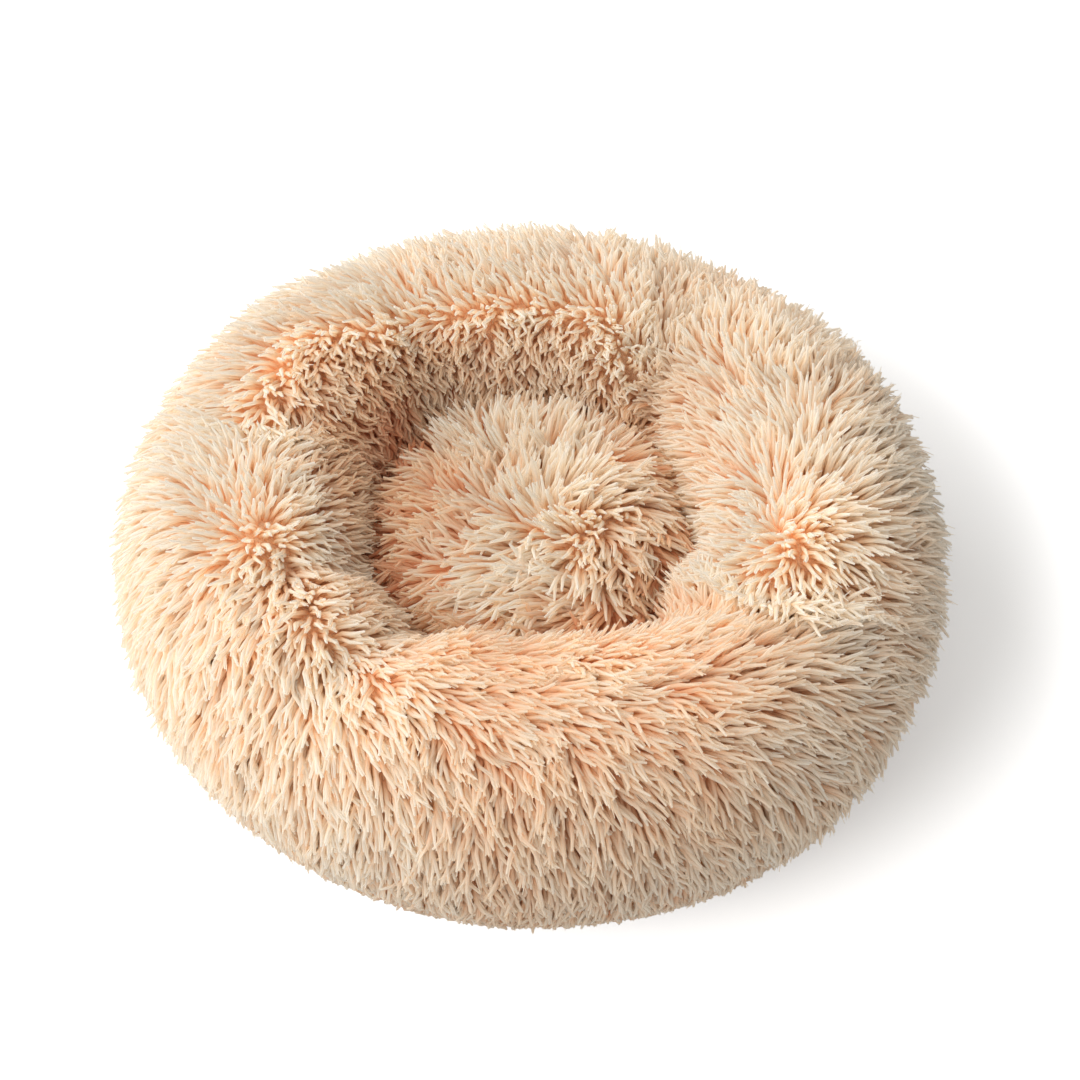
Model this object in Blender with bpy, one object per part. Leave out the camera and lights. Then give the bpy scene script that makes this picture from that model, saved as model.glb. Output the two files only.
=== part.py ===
"""Donut pet bed, built from its sewn and stuffed pieces.

A long-pile plush sleeve stuffed with fibre makes the round bolster. Its ends are gathered to a small
opening, so it carries folds that run from the opening over the crest. Inside it lies a stuffed plush
pad. Both are sewn to one anti-slip base fabric, whose rim curls up under the bolster to the outer seam.

Units are metres and +Z is up. The bed stands on z = 0 with the middle of its outline over the origin.
"""

import math

import bmesh
import bpy
from mathutils import Vector

# Whole bed, measured over the pile
BED_RADIUS = 0.2485
BED_HEIGHT = 0.149

# Bolster section, measured over the pile
BOLSTER_WIDTH = 0.1525
CREST_INSET = 0.0845
EQUATOR_HEIGHT = 0.072
FOOT_TUCK = 0.057
SHOULDER_DROP = 0.062
NEST_TUCK_WIDTH = 0.012
NEST_TUCK_HEIGHT = 0.016

# Thickness of the bolster's plush, cloth and pile together
CREST_WALL = 0.022
NEST_WALL = 0.013
EDGE_WALL = 0.005

# Folds of the bolster
FOLD_DEPTH = 0.013
FOLD_WIDTH = 0.021
SWELL_HEIGHT = 0.002

# Sleeping pad, measured over the pile
PAD_HEIGHT = 0.124
PAD_SIDE_HEIGHT = 0.087
PAD_TOP_WALL = 0.020
PAD_SIDE_WALL = 0.008
PAD_EDGE_WALL = 0.004
PAD_TUCK_WIDTH = 0.010
PAD_TUCK_HEIGHT = 0.014
LINING_THICKNESS = 0.0008
LINING_MARGIN = 0.004

# Base fabric and seams
BASE_THICKNESS = 0.0015
OUTER_SEAM_HEIGHT = 0.024
THREAD_RADIUS = 0.0006
CLEARANCE = 0.0003

# Counts of facets
STEPS_AROUND = 56
THREAD_SIDES = 6
ARC_PIECES = 4
FILLING_STRIDE = 2

# The bolster's places that follow from the sizes above
NEST_RADIUS = BED_RADIUS - BOLSTER_WIDTH
CREST_RADIUS = BED_RADIUS - CREST_INSET
FLOOR_RADIUS = BED_RADIUS - FOOT_TUCK
SHOULDER_HEIGHT = BED_HEIGHT - SHOULDER_DROP
BASE_TOP = BASE_THICKNESS + CLEARANCE
LINING_TOP = BASE_TOP + LINING_THICKNESS
PAD_BOTTOM = LINING_TOP + CLEARANCE
PAD_RADIUS = NEST_RADIUS - CLEARANCE
CORE = Vector((CREST_RADIUS, 0.0, EQUATOR_HEIGHT))

# Each fold: its bearing at the opening and at the crest in degrees, then its share of FOLD_DEPTH
FOLD_SHARES = (
    (46.0, 57.0, 0.85),
    (124.0, 118.0, 0.45),
    (151.0, 166.0, 0.70),
    (205.0, 207.0, 0.55),
    (234.0, 231.0, 1.00),
    (303.0, 323.0, 0.90),
    (344.0, 356.0, 0.40),
)

# Each corner of the opening: its bearing, its half width in degrees, then its share of NEST_RADIUS
CORNER_SHARES = (
    (48.0, 13.0, 0.060),
    (127.0, 13.0, 0.050),
    (205.0, 12.0, 0.055),
    (236.0, 12.0, 0.045),
    (302.0, 14.0, 0.075),
    (344.0, 13.0, 0.060),
)

# Each swelling of the outline: its bearing, its half width in degrees, then its share of CREST_INSET
OUTLINE_SHARES = (
    (30.0, 18.0, 0.050),
    (146.0, 26.0, 0.055),
    (230.0, 34.0, -0.050),
    (306.0, 16.0, 0.060),
)

# The foot's lowest line, in degrees below its widest line
LOWEST = 90.0

# A pad's crown is a curve of this power between a circle's 2 and a square corner
CROWN_POWER = 3.0

# Section bearings in degrees about the bolster's core: 0 points at the nest, 90 at the crest, 180 outwards
FOLD_BEGINS = 8.0
FOLD_IS_FULL = 34.0
FOLD_FADES = 96.0
FOLD_ENDS = 158.0
SWELL_BEGINS = 240.0
SWELL_IS_FULL = 190.0
SWELL_FADES = 120.0
SWELL_ENDS = 70.0


def smooth_step(value, low, high):
    """0 at low, 1 at high and an even ease between them; low may be the larger of the two."""
    share = min(max((value - low) / (high - low), 0.0), 1.0)
    return share * share * (3.0 - 2.0 * share)


def bearing_apart(first, second):
    """The signed angle in degrees from the second bearing to the first, within half a turn."""
    return (first - second + 180.0) % 360.0 - 180.0


def bell(distance, half_width):
    return math.exp(-((distance / half_width) ** 2))


def section_bearing(radius, height):
    """Where a point lies round the bolster's core, in degrees from the nest's side over the crest."""
    angle = math.degrees(math.atan2(height - EQUATOR_HEIGHT, CREST_RADIUS - radius))
    return angle if angle > -90.0 else angle + 360.0


def fold_depth(bearing, across, radius):
    """How deep the folds cut at a bearing round the bed and a bearing across the bolster."""
    rise = smooth_step(across, FOLD_BEGINS, FOLD_IS_FULL) * smooth_step(across, FOLD_ENDS, FOLD_FADES)
    climb = smooth_step(across, FOLD_BEGINS, FOLD_FADES)
    depth = 0.0
    for at_opening, at_crest, depth_share in FOLD_SHARES:
        line = at_opening + climb * bearing_apart(at_crest, at_opening)
        apart = math.radians(bearing_apart(bearing, line)) * radius
        depth += FOLD_DEPTH * depth_share * bell(apart, FOLD_WIDTH)
    return rise * (depth - SWELL_HEIGHT)


def outline_swell(bearing, across):
    rise = smooth_step(across, SWELL_BEGINS, SWELL_IS_FULL) * smooth_step(across, SWELL_ENDS, SWELL_FADES)
    return rise * sum(share * bell(bearing_apart(bearing, at), wide) for at, wide, share in OUTLINE_SHARES)


def opening_shift(bearing, radius):
    """How far the cornered opening moves a point outwards: most at the nest's wall, none at the crest."""
    if radius < NEST_RADIUS:
        reach = smooth_step(radius, 0.0, NEST_RADIUS)
    else:
        reach = smooth_step(radius, CREST_RADIUS, NEST_RADIUS)
    corner = sum(share * bell(bearing_apart(bearing, at), wide) for at, wide, share in CORNER_SHARES)
    evened = sum(share * wide for _, wide, share in CORNER_SHARES) * math.sqrt(math.pi) / 360.0
    return NEST_RADIUS * (corner - evened) * reach


def settle(point, folded):
    """Moves a point of the evenly turned bed to where it lies on the folded and stuffed one.

    Folds and swellings shrink or stretch the bolster's section about its core, so the pieces inside
    one another keep their order and their clearance.
    """
    radius = math.hypot(point.x, point.y)
    if radius == 0.0:
        return point.copy()
    bearing = math.degrees(math.atan2(point.y, point.x)) % 360.0
    height = point.z
    if folded:
        across = section_bearing(radius, height)
        stretch = 1.0 + outline_swell(bearing, across)
        stretch -= fold_depth(bearing, across, radius) / SHOULDER_DROP
        radius = CREST_RADIUS + (radius - CREST_RADIUS) * stretch
        height = EQUATOR_HEIGHT + (height - EQUATOR_HEIGHT) * stretch
    radius += opening_shift(bearing, radius)
    turn = math.radians(bearing)
    return Vector((radius * math.cos(turn), radius * math.sin(turn), height))


def quarter(centre_radius, centre_height, width, height, start, end, pieces=ARC_PIECES):
    """Points on an ellipse in the section plane, from one angle to another in degrees."""
    points = []
    for index in range(pieces + 1):
        angle = math.radians(start + (end - start) * index / pieces)
        points.append(Vector((
            centre_radius + width * math.cos(angle),
            0.0,
            centre_height + height * math.sin(angle),
        )))
    return points


def joined(*runs):
    """One run of points from several that share their end points."""
    points = list(runs[0])
    for run in runs[1:]:
        points.extend(run[1:])
    return points


def inward(point, distance):
    """A section point moved towards the bolster's core."""
    return point + (CORE - point).normalized() * distance


def split_faces(shape):
    """Splits each four-cornered face of a turned shape on the diagonal that its neighbours use too.

    Two faces that lie a clearance apart then bend along the same line when the folds twist them.
    """
    step = math.tau / STEPS_AROUND
    for face in list(shape.faces):
        if len(face.verts) != 4:
            continue
        places = []
        for corner in face.verts:
            spot = corner.co
            turn = round(math.atan2(spot.y, spot.x) / step) % STEPS_AROUND
            places.append((turn, section_bearing(math.hypot(spot.x, spot.y), spot.z)))
        turns = sorted({turn for turn, _ in places})
        first = turns[0] if turns[-1] - turns[0] == 1 else turns[-1]
        start = min((across, index) for index, (turn, across) in enumerate(places) if turn == first)[1]
        bmesh.utils.face_split(face, face.verts[start], face.verts[(start + 2) % 4])


def turned_solid(name, section, material, folded=False, closed=True):
    """Spins a section about the bed's axis, settles it into its folds and makes it an object.

    A closed section is a ring's. An open one starts and ends on the axis.
    """
    shape = bmesh.new()
    corners = [shape.verts.new(point) for point in section]
    pairs = list(zip(corners, corners[1:]))
    if closed:
        pairs.append((corners[-1], corners[0]))
    edges = [shape.edges.new(pair) for pair in pairs]
    bmesh.ops.spin(
        shape,
        geom=corners + edges,
        cent=(0.0, 0.0, 0.0),
        axis=(0.0, 0.0, 1.0),
        angle=math.tau,
        steps=STEPS_AROUND,
        use_merge=True,
    )
    bmesh.ops.remove_doubles(shape, verts=shape.verts, dist=CLEARANCE / 10.0)
    split_faces(shape)
    for corner in shape.verts:
        corner.co = settle(corner.co, folded)
    bmesh.ops.recalc_face_normals(shape, faces=shape.faces)
    mesh = bpy.data.meshes.new(name)
    shape.to_mesh(mesh)
    shape.free()
    mesh.shade_smooth()
    mesh.set_sharp_from_angle(angle=math.radians(50.0))
    mesh.materials.append(material)
    piece = bpy.data.objects.new(name, mesh)
    bpy.context.scene.collection.objects.link(piece)
    return piece


def finish(name, colour, roughness):
    material = bpy.data.materials.new(name)
    material.use_nodes = True
    shader = material.node_tree.nodes["Principled BSDF"]
    shader.inputs["Base Color"].default_value = (*colour, 1.0)
    shader.inputs["Roughness"].default_value = roughness
    shader.inputs["Metallic"].default_value = 0.0
    return material


def seam_angle():
    """The angle on the foot's ellipse, in degrees below its widest line, where the outer seam runs."""
    return math.degrees(math.asin(1.0 - OUTER_SEAM_HEIGHT / EQUATOR_HEIGHT))


def foot_degrees(length):
    """The degrees that a length takes up on the foot's ellipse beside the outer seam."""
    angle = math.radians(seam_angle())
    speed = math.hypot(FOOT_TUCK * math.sin(angle), EQUATOR_HEIGHT * math.cos(angle))
    return math.degrees(length / speed)


def foot_curve(start, end, depth, pieces=ARC_PIECES):
    """The bolster's foot from one angle below its widest line to another, at a depth under its face."""
    width = FOOT_TUCK - depth
    height = EQUATOR_HEIGHT - depth
    return quarter(FLOOR_RADIUS, EQUATOR_HEIGHT, width, height, -start, -end, pieces)


def foot_point(angle, depth):
    return foot_curve(angle, angle, depth, pieces=1)[0]


def thread_room_ends():
    """The angle on the foot below which the stuffing has passed the outer seam's thread."""
    return seam_angle() + foot_degrees(3.0 * CLEARANCE + 2.0 * THREAD_RADIUS)


def stuffing_rests():
    """The angle on the foot below which the stuffing lies on the base fabric."""
    return thread_room_ends() + foot_degrees(3.0 * THREAD_RADIUS)


def bolster_face():
    """The bolster's outer face from the outer seam over the crest to the inner seam, with its wall."""
    foot = foot_curve(seam_angle(), 0.0, 0.0, pieces=2)
    side = quarter(CREST_RADIUS, EQUATOR_HEIGHT, CREST_INSET, BED_HEIGHT - EQUATOR_HEIGHT, 0.0, 90.0)
    shoulder = quarter(
        CREST_RADIUS, SHOULDER_HEIGHT, CREST_RADIUS - NEST_RADIUS, SHOULDER_DROP, 90.0, 180.0
    )
    tuck = quarter(
        NEST_RADIUS + NEST_TUCK_WIDTH,
        BASE_TOP + NEST_TUCK_HEIGHT,
        NEST_TUCK_WIDTH,
        NEST_TUCK_HEIGHT,
        180.0,
        270.0,
        pieces=2,
    )
    face = joined(foot, side, shoulder) + tuck
    walls = [EDGE_WALL, (EDGE_WALL + CREST_WALL) / 2.0]
    walls += [CREST_WALL] * (len(side) + len(shoulder) - 3)
    walls += [(CREST_WALL + NEST_WALL) / 2.0, NEST_WALL, NEST_WALL, NEST_WALL, EDGE_WALL]
    return face, walls


def inner_face(extra):
    """The bolster plush's inner face, or a face that much deeper, on every second point of the outer."""
    face, walls = bolster_face()
    inner = [inward(point, wall + extra) for point, wall in zip(face, walls)]
    kept = inner[::FILLING_STRIDE]
    if (len(inner) - 1) % FILLING_STRIDE:
        kept.append(inner[-1])
    return kept


def bolster_cover(material):
    face, _ = bolster_face()
    section = face + list(reversed(inner_face(0.0)))
    return turned_solid("bolster_cover", section, material, folded=True)


def bolster_filling(material):
    """The stuffing: under the plush, round the seam threads and down on the base fabric."""
    top = inner_face(CLEARANCE)
    inner_edge = NEST_RADIUS + NEST_TUCK_WIDTH + CLEARANCE
    inner_corner = Vector((inner_edge, 0.0, BASE_TOP))
    floor = foot_curve(LOWEST, stuffing_rests(), BASE_THICKNESS + CLEARANCE)
    past_thread = foot_point(thread_room_ends(), BASE_THICKNESS + 3.0 * CLEARANCE + 2.0 * THREAD_RADIUS)
    section = top + [inner_corner] + floor + [past_thread]
    return turned_solid("bolster_filling", section, material, folded=True)


def crown(radius, top, side, pieces):
    """A pad's top from the axis out to its side, as a curve fuller than an ellipse."""
    points = []
    for index in range(pieces + 1):
        angle = math.pi / 2.0 * (1.0 - index / pieces)
        out = math.cos(angle) ** (2.0 / CROWN_POWER) if index else 0.0
        rise = math.sin(angle) ** (2.0 / CROWN_POWER) if index < pieces else 0.0
        points.append(Vector((radius * out, 0.0, side + (top - side) * rise)))
    return points


def pad_cover(material):
    tuck = quarter(
        PAD_RADIUS - PAD_TUCK_WIDTH,
        PAD_BOTTOM + PAD_TUCK_HEIGHT,
        PAD_TUCK_WIDTH,
        PAD_TUCK_HEIGHT,
        0.0,
        -90.0,
        pieces=2,
    )
    outer = crown(PAD_RADIUS, PAD_HEIGHT, PAD_SIDE_HEIGHT, 8) + tuck
    inner = pad_inner_face(0.0)
    return turned_solid("pad_cover", outer + list(reversed(inner)), material, closed=False)


def pad_inner_face(extra):
    """The inner face of the pad's plush, or a face that much deeper, from the axis to its edge."""
    radius = PAD_RADIUS - PAD_SIDE_WALL - extra
    top = crown(radius, PAD_HEIGHT - PAD_TOP_WALL - extra, PAD_SIDE_HEIGHT - extra, 5)
    bend = Vector((radius, 0.0, PAD_BOTTOM + PAD_TUCK_HEIGHT + extra))
    edge = Vector((
        PAD_RADIUS - PAD_TUCK_WIDTH - extra,
        0.0,
        PAD_BOTTOM + PAD_EDGE_WALL + extra,
    ))
    return top + [bend, edge]


def pad_filling(material):
    top = pad_inner_face(CLEARANCE)
    edge = Vector((PAD_RADIUS - PAD_TUCK_WIDTH - CLEARANCE, 0.0, PAD_BOTTOM))
    middle = Vector((0.0, 0.0, PAD_BOTTOM))
    return turned_solid("pad_filling", top + [edge, middle], material, closed=False)


def pad_lining(material):
    radius = PAD_RADIUS - LINING_MARGIN
    section = [
        Vector((0.0, 0.0, LINING_TOP)),
        Vector((radius, 0.0, LINING_TOP)),
        Vector((radius, 0.0, BASE_TOP)),
        Vector((0.0, 0.0, BASE_TOP)),
    ]
    return turned_solid("pad_lining", section, material, closed=False)


def base_fabric(material):
    """A disc that lies flat under the bed, with a rim that curls up round the bolster's foot."""
    rim_ends = seam_angle() + foot_degrees(CLEARANCE)
    under = foot_curve(LOWEST, stuffing_rests(), 0.0) + [foot_point(rim_ends, 0.0)]
    over = foot_curve(LOWEST, stuffing_rests(), BASE_THICKNESS) + [foot_point(rim_ends, BASE_THICKNESS)]
    section = [Vector((0.0, 0.0, 0.0))] + under + list(reversed(over))
    section.append(Vector((0.0, 0.0, BASE_THICKNESS)))
    return turned_solid("base_fabric", section, material, folded=True, closed=False)


def thread_ring(name, centre, material, folded):
    """A line of sewing thread right round a seam."""
    section = []
    for index in range(THREAD_SIDES):
        angle = math.tau * index / THREAD_SIDES
        around = Vector((math.cos(angle), 0.0, math.sin(angle)))
        section.append(centre + around * THREAD_RADIUS)
    return turned_solid(name, section, material, folded=folded)


def outer_seam_thread(material):
    along = seam_angle() + foot_degrees(2.0 * CLEARANCE + THREAD_RADIUS)
    depth = BASE_THICKNESS + CLEARANCE + THREAD_RADIUS
    return thread_ring("outer_seam_thread", foot_point(along, depth), material, folded=True)


def inner_seam_thread(material):
    centre = Vector((NEST_RADIUS, 0.0, BASE_TOP + THREAD_RADIUS))
    return thread_ring("inner_seam_thread", centre, material, folded=False)


def centre_over_origin(pieces):
    """Slides the whole bed so that the middle of its outline stands over the origin."""
    spots = [corner.co for piece in pieces for corner in piece.data.vertices]
    middle = Vector((
        (max(spot.x for spot in spots) + min(spot.x for spot in spots)) / 2.0,
        (max(spot.y for spot in spots) + min(spot.y for spot in spots)) / 2.0,
        0.0,
    ))
    for piece in pieces:
        for corner in piece.data.vertices:
            corner.co -= middle


def build():
    for old in list(bpy.data.objects):
        bpy.data.objects.remove(old, do_unlink=True)
    bolster_plush = finish("bolster_plush", (0.76, 0.56, 0.40), 0.85)
    pad_plush = finish("pad_plush", (0.74, 0.52, 0.36), 0.85)
    fibre = finish("polyester_fibre", (0.88, 0.87, 0.84), 0.95)
    lining = finish("lining_cloth", (0.80, 0.76, 0.70), 0.90)
    anti_slip = finish("anti_slip_fabric", (0.62, 0.50, 0.42), 0.80)
    thread = finish("sewing_thread", (0.70, 0.52, 0.38), 0.60)
    pieces = [
        bolster_cover(bolster_plush),
        bolster_filling(fibre),
        pad_cover(pad_plush),
        pad_filling(fibre),
        pad_lining(lining),
        base_fabric(anti_slip),
        outer_seam_thread(thread),
        inner_seam_thread(thread),
    ]
    centre_over_origin(pieces)


build()
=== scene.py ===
import math

import bmesh
import bpy
import numpy as np
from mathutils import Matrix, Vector
from mathutils.bvhtree import BVHTree


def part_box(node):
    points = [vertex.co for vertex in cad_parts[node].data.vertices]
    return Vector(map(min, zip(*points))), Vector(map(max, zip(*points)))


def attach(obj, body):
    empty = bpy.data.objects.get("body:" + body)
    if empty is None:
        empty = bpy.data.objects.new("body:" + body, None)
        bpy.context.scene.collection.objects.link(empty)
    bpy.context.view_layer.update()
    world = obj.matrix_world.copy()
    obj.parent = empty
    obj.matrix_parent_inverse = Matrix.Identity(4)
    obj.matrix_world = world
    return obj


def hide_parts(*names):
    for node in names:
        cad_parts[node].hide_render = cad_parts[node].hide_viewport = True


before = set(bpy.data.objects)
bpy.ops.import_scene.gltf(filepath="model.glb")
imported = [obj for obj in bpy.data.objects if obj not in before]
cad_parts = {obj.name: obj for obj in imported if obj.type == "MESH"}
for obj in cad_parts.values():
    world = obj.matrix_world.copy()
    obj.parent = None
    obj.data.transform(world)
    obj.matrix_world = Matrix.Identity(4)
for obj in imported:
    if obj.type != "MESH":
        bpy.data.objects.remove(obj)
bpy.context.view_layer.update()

# The photograph's camera
PHOTO_SIDE = 1080
CAMERA_ELEVATION = math.radians(50.87)
CAMERA_DISTANCE = 1.616
CAMERA_TARGET = Vector((0.006, 0.013, 0.07))
CAMERA_LENS_MM = 87.4
SENSOR_MM = 36.0

# The bolster's section, seen from the middle of its stuffing: 0 degrees looks at the nest, 90 up.
# Here and below, a value whose name ends in SMOOTHING counts steps of the surface's grid.
CORE_RADIUS = 0.171
CORE_HEIGHT = 0.0755
SEARCH_REACH = 0.12
NEST_FOOT_ANGLE = math.radians(-44)
OUTER_SEAM_ANGLE = math.radians(216.5)
STEPS_AROUND = 240
OUTER_PIECES = 8
NEST_PIECES = 3
NEST_EDGE_ANGLE = 62
STEPS_OVER = 74
FACET_SMOOTHING = 3.0
DEPTH_SMOOTHING = 2.0

# The pad, seen from a point on its axis: 0 degrees looks up
PAD_CENTRE_HEIGHT = 0.055
PAD_SEARCH_REACH = 0.16
PAD_STEPS_AROUND = 120
PAD_STEPS_OVER = 44
PAD_FOOT_ANGLE = math.radians(118)
PAD_SMOOTHING = 1.5

# The cloths, and the patterns in their surfaces
CLOTH_THICKNESS = 0.0012
POLE_MERGE = 0.000001
WAVE_TEXTURE_TURNS = 20
WEAVE_PITCH = 0.0009
KNIT_PITCH = 0.0011
THREAD_TWIST = 0.0004
CLOTH_PATCHES_PER_METRE = 38.0
FIBRES_PER_METRE = 260.0
RUBBER_GRAINS_PER_METRE = 900.0

# The base fabric, seen from a point over it, and its anti-slip dots
BASE_CENTRE_HEIGHT = 0.045
BASE_SEARCH_REACH = 0.4
BASE_STEPS_AROUND = 240
BASE_FLAT_STEPS = 40
BASE_CURL_STEPS = 14
BASE_FLAT_TILT = math.radians(-13.4)
BASE_RIM_TILT = math.radians(-5.3)
BASE_CLOTH = 0.0008
DOT_PITCH = 0.009
DOT_RADIUS = 0.0014
DOT_HEIGHT = 0.0006
DOT_MARGIN = 0.003
DOT_SEGMENTS = 8
DOT_RINGS = 4

# The seams' stitches
STITCH_LENGTH = 0.0030
STITCH_GAP = 0.0007
STITCH_POINTS = 5
STITCH_DIP = 1.6
THREAD_RADIUS = 0.00032
THREAD_SIDES = 6
OUTER_STITCH_MARGIN = 0.004

# The fillings
FILLING_LUMPS = 0.0035
FILLING_STEPS = 48
LINING_STEPS = 18
LINING_CLOTH = 0.0003
LINING_SEARCH_REACH = 0.2
LUMP_SMOOTHING = 2.0
CREASE_SMOOTHING = 3.0

# The key lamp
KEY_STRENGTH = 2.2
KEY_WIDTH = math.radians(60)
KEY_FROM = Vector((-0.80, 0.36, 0.38))

# The sky's light is strongest from the front left and weakest from the back right
SKY_COLOR = (1.0, 0.98, 0.95, 1)
SKY_FROM = (-0.75, -0.66, 0.0)
SKY_STRENGTHS = (0.34, 1.04)

# The floor's glow is faint round this point, where it keeps the bed's shadow, and grows between
# these distances from it to a white of painted light over the rest of the shadow
SHADOW_MIDDLE = (0.09, 0.06, 0.0)
SHADOW_FADES = (0.205, 0.31)
FLOOR_GLOWS = (0.27, 0.75)
FLOOR_GREY = (0.78, 0.78, 0.78, 1)
FLOOR_HALF = 6.0
FLOOR_DROP = 0.0002

# The pile: sizes on the bolster, and what differs in the nest and on the pad
PILE_SIZES = {
    "Lock spacing": 0.00243,
    "Locks per square metre": 400000.0,
    "Lock width": 0.0028,
    "Strands in a lock": 2,
    "Points in a strand": 4,
    "Strand radius": 0.00045,
    "Core radius": 0.0014,
    "Swirl": 0.55,
    "Tufts per metre": 105.0,
    "Tuft pull": 0.5,
    "Seed": 1,
}
NEST_SIZES = {"Points in a strand": 5, "Core radius": 0.0012, "Tuft pull": 0.3}
PAD_SIZES = {"Swirl": 0.9, "Tufts per metre": 66.0, "Tuft pull": 0.8, "Seed": 5}
BOLSTER_SEED = 12
NEST_SEED = 9

# How the pile's strands vary, bend and part, and how deep the cloth lies under their tips
ROOT_BOW = 0.30
PILE_TOP = 0.164
SWIRLS_PER_METRE = 42.0
RIPPLES_PER_METRE = 150.0
PATCHES_PER_METRE = 22.0
RIPPLE_SHARE = 2.4
PATCH_TONE = 0.7
GOLDEN_ANGLE = 2.399
GATHER_AT_TIP = 0.5
PARTING_SPREAD = 1.2
STRAND_SIDES = 3
CORE_SIDES = 5
TIP_TAPER = 0.5
TURN_VARIES = (0.0, 6.283)
LIFT_VARIES = (-0.15, 0.20)
LENGTH_VARIES = (0.72, 1.12)
STRAND_LENGTH_VARIES = (0.70, 1.0)
CORE_LENGTH_SHARE = 0.84
LOCK_TONE_VARIES = (-0.16, 0.16)
STRAND_TONE_VARIES = (-0.06, 0.06)
STRAY_WIDTH = 0.0012
CURL_WIDTH = 0.0020
CURL_TURN = 7.5
LEAST_CURL = 0.35
CURL_HEIGHT_SHARE = 0.6
STRAGGLE = 0.22
PARTING_STRAGGLE = 0.8
PARTING_RISE = 0.6
MOST_LIFT = 1.05
LIFT_OVER_MARKS = 0.12
PARTED_HEIGHT = 1.35
COAT_SHARE = 0.65
PARTED_COAT_LESS = 0.4
COAT_DEPTHS = (0.003, 0.016)
STEEPEST_OVER_LIFT = 0.15
ROOM_KEPT = 1.1
LEAST_ROOM = 0.5

# The pile's colours from root to tip, where it is deep in the nest, warm and pale, and how its
# tone chooses between them. The deep colours are painted shade in the nest's recesses, and each set
# is darker and more saturated towards the root, painted shade and warm glow among the strands.
PILE_COLORS = (
    ((0.0, (0.72, 0.24, 0.10)), (0.5, (0.82, 0.36, 0.18)), (1.0, (0.88, 0.48, 0.27))),
    (
        (0.0, (0.90, 0.42, 0.20)),
        (0.35, (0.93, 0.57, 0.34)),
        (0.70, (0.94, 0.70, 0.48)),
        (1.0, (0.95, 0.79, 0.59)),
    ),
    (
        (0.0, (0.95, 0.63, 0.39)),
        (0.35, (0.95, 0.78, 0.60)),
        (0.70, (0.95, 0.89, 0.79)),
        (1.0, (0.95, 0.92, 0.86)),
    ),
)
TONE_SCALE = 0.6
TONE_MIDDLE = 0.4
DEEP_TO_WARM = 2.5
WARM_TO_PALE = 1.7
GLOW_SHARE = 0.4
GLOW_TINT = (1.0, 0.98, 0.94, 1)
GLOW_TINT_SHARE = 0.35
SHADOW_TINT = (0.96, 0.90, 0.82, 1)

# Directions in which the tips of the pile lie in the photograph: pixel, then the degrees
# anticlockwise from the picture's right
BOLSTER_COMBING = (
    (300, 830, 255), (340, 770, 262), (400, 810, 268), (470, 790, 272), (500, 870, 270),
    (560, 810, 278), (600, 870, 275), (640, 810, 290), (700, 800, 300), (760, 780, 310),
    (283, 743, 262), (310, 695, 262), (278, 651, 262), (341, 717, 278), (335, 690, 290),
    (359, 711, 300), (385, 717, 310), (350, 680, 315), (410, 698, 325), (448, 679, 352),
    (410, 661, 0), (378, 643, 8), (353, 632, 5), (436, 632, 35), (308, 641, 240),
    (400, 750, 285), (440, 740, 300), (480, 730, 315), (520, 740, 300), (560, 745, 305),
    (480, 672, 0), (520, 668, 5), (590, 655, 8), (640, 660, 20), (700, 650, 35), (740, 640, 40),
    (480, 700, 345), (530, 700, 350), (580, 700, 350), (640, 705, 355), (700, 700, 0),
    (640, 745, 315), (700, 745, 320), (780, 730, 335), (850, 740, 325),
    (760, 700, 350), (820, 690, 345),
    (300, 520, 5), (340, 520, 0), (320, 545, 335), (290, 560, 315), (262, 560, 280),
    (235, 560, 240), (220, 530, 210), (180, 540, 215), (150, 600, 225), (180, 620, 235),
    (220, 640, 240), (200, 700, 245), (260, 680, 250), (260, 750, 250),
    (230, 500, 150), (250, 490, 100), (280, 495, 50), (300, 490, 30), (330, 470, 20),
    (150, 480, 190), (180, 400, 190), (230, 370, 185), (230, 330, 178), (330, 290, 165),
    (400, 260, 130), (450, 270, 122), (520, 260, 120), (580, 270, 110), (630, 240, 92),
    (680, 260, 95), (720, 290, 88), (780, 320, 75), (840, 370, 60),
    (300, 400, 300), (340, 360, 290), (390, 400, 280), (340, 430, 320), (450, 350, 265),
    (520, 345, 268), (600, 345, 262), (640, 340, 80), (670, 330, 88),
    (700, 400, 150), (720, 460, 160), (740, 520, 165), (760, 420, 120), (690, 480, 170),
    (780, 470, 110), (800, 490, 95), (850, 450, 40), (880, 490, 10), (840, 520, 355),
    (900, 560, 355), (900, 600, 350), (850, 570, 325), (820, 560, 300), (790, 560, 250),
    (750, 570, 210), (880, 660, 340), (830, 640, 20), (760, 640, 35), (720, 610, 60),
    (276, 522, 300), (264, 510, 30), (252, 522, 120), (264, 534, 210),
    (811, 524, 290), (799, 512, 20), (787, 524, 110), (799, 536, 200),
)
PAD_COMBING = (
    (390, 520, 180), (400, 480, 170), (430, 540, 178), (430, 490, 168), (460, 510, 170),
    (430, 450, 135), (460, 430, 120), (490, 400, 105), (480, 460, 110), (500, 480, 100),
    (510, 420, 95), (540, 430, 88), (530, 470, 92), (550, 500, 98), (570, 420, 75),
    (570, 460, 80), (600, 420, 50), (600, 450, 35), (630, 450, 25), (615, 480, 15),
    (650, 480, 5), (640, 505, 345), (670, 510, 335), (660, 540, 320), (620, 515, 335),
    (635, 565, 300), (615, 550, 300), (610, 590, 240), (585, 570, 225), (590, 600, 210),
    (560, 550, 195), (550, 590, 195), (520, 540, 185), (510, 580, 190), (480, 560, 185),
    (480, 600, 190), (440, 580, 195), (540, 615, 195),
    (593, 512, 285), (580, 497, 15), (565, 512, 105), (580, 527, 195),
)
COMB_REACH = 0.016
COMB_ELSEWHERE = 0.05
COMBED_LIFT = math.radians(20)
TURNS_TRIED = 144
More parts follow.
